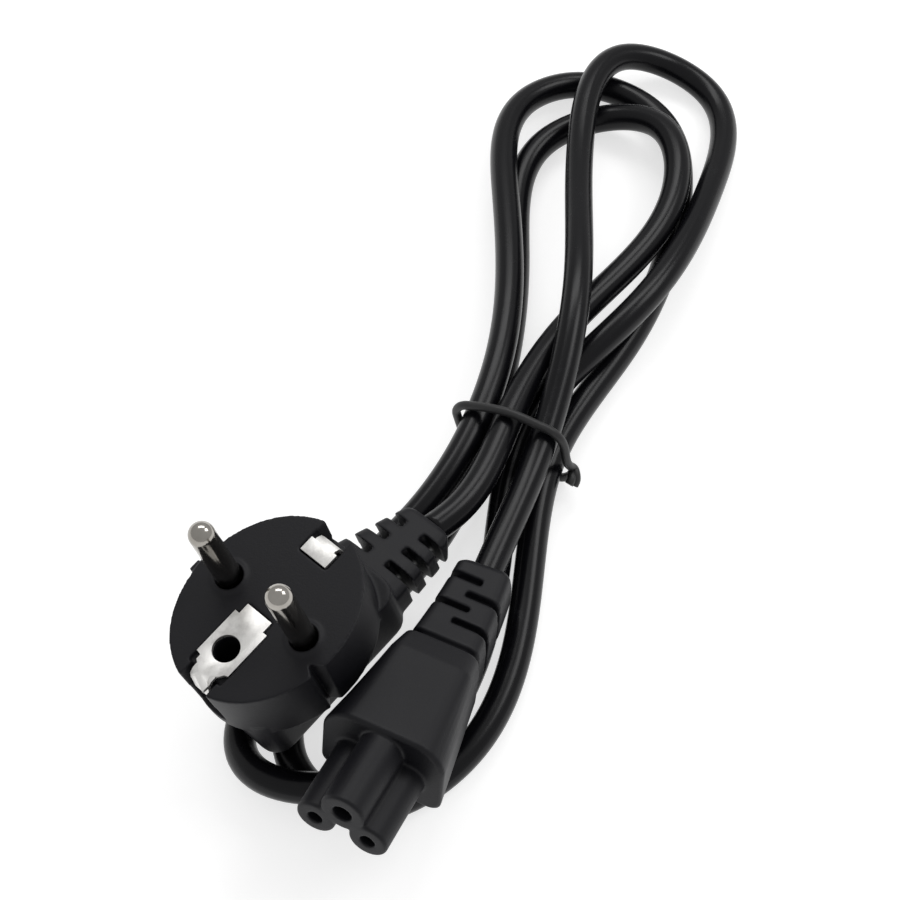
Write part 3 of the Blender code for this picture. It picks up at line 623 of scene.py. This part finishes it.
profile = [(0.0, -PIN_ROOT), (PIN_RADIUS - 0.3, -PIN_ROOT), (PIN_RADIUS, -PIN_ROOT + 0.3),
           (PIN_RADIUS, PIN_LENGTH - PIN_RADIUS)]
DOME_STEPS = 16
for step in range(1, DOME_STEPS):
    lift = math.pi / 2 * step / DOME_STEPS
    profile.append((PIN_RADIUS * math.cos(lift), PIN_LENGTH - PIN_RADIUS + PIN_RADIUS * math.sin(lift)))
profile.append((0.0, PIN_LENGTH))
pins = []
for name, side in (("left", -1), ("right", 1)):
    pins.append(spun("turned_pin_" + name, profile, (side * PIN_HALF_SPACING, 0.0), PLUG_PLACE))
print("Pins:", len(pins))

# %% [markdown]
# The earth contact is stamped from sheet and bent over the rim. Its outline is
# cut first, with a hole for the socket's earth pin, and the sheet gets its
# thickness at the end. Its outer end narrows in small steps before the bend.

# %% Earth contact plate
SHEET = 0.8
STRIP_HALF = 2.3
STRIP_DROP = 11.0
NEAR_BEND, FAR_BEND = -16.4, 15.6


def bent_strip(line):
    """Draws the strip's cross-section along a line that lies in the plug's middle."""
    bm = bmesh.new()
    bmesh.ops.create_grid(bm, x_segments=1, y_segments=1, size=0.5)
    face = bm.faces[:][0]
    across = Vector((1.0, 0.0, 0.0))
    corners = [(-1, -1), (1, -1), (1, 1), (-1, 1)]
    for i, point in enumerate(line):
        way = (line[min(i + 1, len(line) - 1)] - line[max(i - 1, 0)]).normalized()
        up = across.cross(way)
        if i:
            made = bmesh.ops.extrude_face_region(bm, geom=[face])["geom"]
            if i > 1:
                bmesh.ops.delete(bm, geom=[face], context="FACES_ONLY")
            face = next(g for g in made if isinstance(g, bmesh.types.BMFace))
        loose = list(face.verts)
        if i:
            loose = sorted(loose, key=lambda v: min(range(4), key=lambda k: (before[k] - v.co).length))
        for vert, (cx, cy) in zip(loose, corners):
            vert.co = point + across * cx * STRIP_HALF + up * cy * (SHEET / 2 - 0.05)
        before = [v.co.copy() for v in loose]
    return bm


def sheet_piece(name, outline, bend, hole=None):
    """A stamped plate whose outer end bends down into a strip."""
    bm = bmesh.new()
    bm.faces.new([bm.verts.new((x, y, 0.1)) for x, y in outline])
    made = bmesh.ops.extrude_face_region(bm, geom=list(bm.faces))["geom"]
    lower = [g for g in made if isinstance(g, bmesh.types.BMVert)]
    bmesh.ops.translate(bm, vec=(0.0, 0.0, -SHEET), verts=lower)
    plate = scratch_object(name, bm)
    fold = [(-1.6, -0.3), (-0.5, -0.35), (0.3, -0.9), (0.6, -2.0), (0.9, -STRIP_DROP / 2), (0.4, -STRIP_DROP)]
    line = [Vector((0.0, math.copysign(abs(bend) + out, bend), z)) for out, z in fold]
    combine(plate, bent_strip(line), "UNION")
    if hole:
        combine(plate, rod(HOLE_RADIUS, -3.0, 3.0, hole), "DIFFERENCE")
    rounding = plate.modifiers.new("edge", "BEVEL")
    rounding.width = 0.12
    rounding.segments = 2
    rounding.limit_method = "ANGLE"
    rounding.angle_limit = math.radians(40.0)
    apply_modifiers(plate)
    set_down(plate, PLUG_PLACE)
    plate.data.set_sharp_from_angle(angle=math.radians(35.0))
    return plate


RAGGED_END = [(-4.0, -13.4), (-2.9, -13.6), (-2.86, -14.6), (-0.85, -15.9), (-1.2, -16.75),
              (2.43, -18.2), (2.48, -16.9), (1.79, -16.4), (1.45, -15.45), (2.88, -14.3),
              (3.25, -13.7), (4.0, -13.4)]
FAR_PLATE = [(-3.1, 11.8), (3.1, 11.8), (3.1, 14.8), (-3.1, 14.8)]
contact = sheet_piece("earth_plate", RAGGED_END + PLATE[2:], NEAR_BEND, (0.0, HOLE_Y))
clip = sheet_piece("earth_far_plate", FAR_PLATE, FAR_BEND)
print("Contact faces:", len(contact.data.polygons), len(clip.data.polygons))

# %% [markdown]
# The connector at the other end is wide below and narrow on top, so that it
# fits only one way. Three round barrels stand out of its front, each with a
# hole. Its strain relief narrows and curves up toward the cord, and its slots
# cut in from one side and the other in turn.

# %% Connector body
CONNECTOR_PLACE = Matrix((
    (0.89954, 0.07878, -0.42968, -0.01985),
    (-0.43651, 0.20049, -0.87708, -0.08276),
    (0.01705, 0.97652, 0.21474, 0.01942),
    (0.0, 0.0, 0.0, 1.0)))
HALF, TOP, LOW, BODY, LONG = 11.8, 9.9, -6.8, 23.6, 45.0
WAIST, CROWN, BACK_CROWN = 0.77, 0.69, 0.83
CORNER, FRONT_ROUND = 2.0, 0.5
CHAMFER_AT, CHAMFER_HALF = 18.8, 8.6
BACK_HALF, BACK_DROP = 7.8, 1.6
RISE, BEND = 0.0043, 0.0019
NECK_GROOVE = 0.9
CONNECTOR_VOXEL = 0.27
NECK_FROM = (7.2, -5.5, 7.5)
NECK_TO = (5.5, -3.6, 6.4)


def connector_station(z, half, low, high, crown):
    """Maps the front outline to a section further back, where it may also bend."""
    run = max(0.0, -z - BODY)

    def station(x, y):
        share = (y - LOW) / (TOP - LOW)
        narrowing = 1.0 + (crown / CROWN - 1.0) * max(0.0, share - WAIST) / (1.0 - WAIST)
        aside = x / HALF * half * narrowing
        height = low + share * (high - low)
        lean = 2.0 * RISE * run * (height - (low + high) / 2) - 2.0 * BEND * run * aside
        return Vector((aside - BEND * run ** 2, height + RISE * run ** 2, z + lean))

    return station


def neck_size(z):
    """Half width, underside and top of the strain relief, this far back."""
    t = (-z - BODY) / (LONG - BODY)
    return [a + (b - a) * t for a, b in zip(NECK_FROM, NECK_TO)]


def neck_station(z, shrink=0.0):
    """Maps the front outline to the strain relief's section this far back."""
    half, low, high = neck_size(z)
    return connector_station(z, half - shrink, low + shrink, high - shrink, BACK_CROWN)


corners = [(HALF, LOW), (HALF, LOW + (TOP - LOW) * WAIST), (HALF * CROWN, TOP)]
corners += [(-x, y) for x, y in reversed(corners)]
body = drawn_out(corners, CORNER, [
    connector_station(0.0, HALF - FRONT_ROUND, LOW + FRONT_ROUND, TOP - FRONT_ROUND, CROWN),
    connector_station(-0.6, HALF, LOW, TOP, CROWN),
    connector_station(-CHAMFER_AT, CHAMFER_HALF, LOW, TOP - 0.4, BACK_CROWN),
    connector_station(-BODY, BACK_HALF, LOW + 0.6, TOP - BACK_DROP, BACK_CROWN),
    neck_station(-BODY - 0.6, NECK_GROOVE), neck_station(-BODY - 1.2, NECK_GROOVE),
    neck_station(-BODY - 1.8),
    *(neck_station(-BODY - back) for back in (5.0, 9.0, 13.0, 17.0)),
    neck_station(-LONG + 1.0), neck_station(-LONG, 0.8)])
connector = scratch_object("connector_moulding", body)
print("Connector, millimetres:", [round(v, 1) for v in connector.dimensions])

# %% [markdown]
# Round barrels and slots are joined to the body and cut from it before the
# edges are rounded, so that the creases between them fill a little as well.

# %% Connector barrels, holes and slots
BARREL_LONG, HOLE_DEEP = 14.9, 12.0
BARRELS = [(0.0, 4.8, 4.2, 1.8), (-5.0, 0.0, 3.65, 1.4), (5.0, 0.0, 3.65, 1.4)]
for x, y, radius, bore in BARRELS:
    combine(connector, rod(radius, -2.0, BARREL_LONG, (x, y), rim=0.5), "UNION")
holes = bmesh.new()
for x, y, radius, bore in BARRELS:
    rod(bore, BARREL_LONG - HOLE_DEEP, BARREL_LONG + CLEAR, (x, y), holes, segments=40)
combine(connector, holes, "DIFFERENCE")

NECK_SLOTS, NECK_FIRST, NECK_PITCH = 4, 6.2, 3.3
NECK_SLOT_HALF, NECK_DEEP = 0.65, 1.7
OVER_MIDDLE, SIDE_FROM = -1.0, 3.9
for i in range(NECK_SLOTS):
    z = -BODY - NECK_FIRST - NECK_PITCH * i
    side = 1 if i % 2 == 0 else -1
    half, low, high = neck_size(z)
    run = -z - BODY
    aside, rise = -BEND * run ** 2, RISE * run ** 2
    top_cut = (OVER_MIDDLE, high - NECK_DEEP, high + CLEAR)
    low_cut = (OVER_MIDDLE, low - CLEAR, low + NECK_DEEP)
    side_cut = (SIDE_FROM, low, high)
    for inner, bottom, top in (top_cut, low_cut, side_cut):
        ends = sorted((aside + side * inner, aside + side * (half + CLEAR)))
        block = box((ends[0], bottom + rise, z - NECK_SLOT_HALF), (ends[1], top + rise, z + NECK_SLOT_HALF))
        combine(connector, block, "DIFFERENCE")
mould(connector, CONNECTOR_VOXEL, 2, CONNECTOR_PLACE)

# %% [markdown]
# The tie is a plastic-covered wire that is pulled round all the strands. Its
# two ends are twisted round each other at one side and bent into a hook. One
# wire makes all of it: an end, the way round the bundle, and the other end.

# %% Wire tie
TIE_RADIUS = 0.0009
TIE_STEP = 0.0004
TIE_SIDES = 16
TIE_AT = Vector((0.0122, -0.0028, 0.0)) - Vector(LAYOUT_CENTRE)
TIE_ALONG = Vector((0.40, 0.917, 0.0)).normalized()
TIE_ACROSS = Vector((TIE_ALONG.y, -TIE_ALONG.x, 0.0))
TIE_LOOP = [
    (13.3, 4.2), (12.9, 3.1), (12.4, 2.3), (11.5, 1.4), (10.3, 0.95), (-6.0, 0.95), (-7.3, 1.1),
    (-8.5, 1.6), (-9.5, 2.5), (-10.1, 3.8), (-11.7, 10.1), (-11.9, 11.4), (-11.7, 12.6),
    (-11.1, 13.8), (-10.2, 14.7), (-9.0, 15.35), (-2.4, 17.6), (-1.1, 17.8), (6.6, 17.05),
    (7.9, 16.85), (9.1, 16.25), (10.1, 15.3), (10.8, 14.1), (13.0, 6.6)]


def on_tie(across, up, along=0.0):
    """A point by the tie's own axes, in millimetres."""
    return TIE_AT + (TIE_ACROSS * across + TIE_ALONG * along) * MM + Vector((0.0, 0.0, up * MM))


short_end = [on_tie(13.9, 5.0, -3.1), on_tie(14.0, 5.4, -2.0), on_tie(13.6, 5.2, -0.8)]
hooked_end = [on_tie(13.6, 5.6, 0.4), on_tie(14.4, 5.2, -0.5), on_tie(14.8, 4.5, -1.4),
              on_tie(14.7, 3.8, -2.2)]
wire = [*short_end, *(on_tie(x, z) for x, z in TIE_LOOP), *hooked_end]
tie_line = smooth_line(wire, TIE_STEP)
tie_line[:, 2] = np.maximum(tie_line[:, 2], TIE_RADIUS)
tie = tube("twisted_tie", tie_line, TIE_RADIUS, TIE_SIDES)
print("Tie wire faces:", len(tie.data.polygons))

# %% [markdown]
# Each piece now gets its finish and is tied to the solid that it stands for.

# %% Tie the pieces to their solids
STANDS_FOR = [
    (cord, "cord", "cord_pvc", cord_pvc), (plug, "plug_body", "plug_pvc", moulded_pvc),
    (pins[0], "pin_left", "nickel", turned_nickel), (pins[1], "pin_right", "nickel", turned_nickel),
    (contact, "earth_contact", "nickel", stamped_nickel), (clip, "earth_clip", "nickel", stamped_nickel),
    (connector, "connector_body", "plug_pvc", moulded_pvc), (tie, "wire_tie", "tie_plastic", tie_pvc)]
for piece, node, slot, finish in STANDS_FOR:
    piece.data.materials.clear()
    piece.data.materials.append(finish)
    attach(piece, "root")
    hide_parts(node)
[tuple(p) for p in cord_line]
print("Pieces tied:", len(STANDS_FOR))

# %% [markdown]
# The lead lies on a plain pale sheet in soft light. A wide lamp behind the
# lead puts the long grey streaks on the round cords and whitens the metal.
# A pale sky fills the rest. The sheet glows a little, as on a light table, so
# that the shadows stay faint.

# %% Floor and light
bm = bmesh.new()
bmesh.ops.create_grid(bm, x_segments=1, y_segments=1, size=3.0)
floor = put_in_scene("floor", bm)
paper = Finish("paper", {"Roughness": 0.9, "Specular IOR Level": 0.1, "Emission Strength": 0.66,
                         "Emission Color": (1.0, 1.0, 1.0, 1.0)})
weave = paper.noise(paper.place(), 400.0)
floor.data.materials.append(paper.wear(
    Base_Color=paper.mix(weave, (0.53, 0.53, 0.53), (0.56, 0.56, 0.56))))


def lamp(name, at, width, height, power):
    """A rectangular lamp that points at the middle of the lead."""
    data = bpy.data.lights.new(name, "AREA")
    data.shape = "RECTANGLE"
    data.size = width
    data.size_y = height
    data.energy = power
    made = bpy.data.objects.new(name, data)
    bpy.context.scene.collection.objects.link(made)
    made.location = at
    made.rotation_mode = "QUATERNION"
    made.rotation_quaternion = (-Vector(at)).to_track_quat("-Z", "Y")


lamp("key_right", (0.55, 0.25, 0.75), width=0.35, height=0.35, power=1.8)
lamp("top_back", (-0.05, 0.75, 1.0), width=0.9, height=0.35, power=4.6)
world = bpy.data.worlds.new("sky")
bpy.context.scene.world = world
world.use_nodes = True
background = world.node_tree.nodes["Background"]
background.inputs["Color"].default_value = (1.0, 1.0, 1.0, 1.0)
background.inputs["Strength"].default_value = 0.58
bpy.context.scene.view_settings.view_transform = "Standard"
print("Lamps:", len(bpy.data.lights))
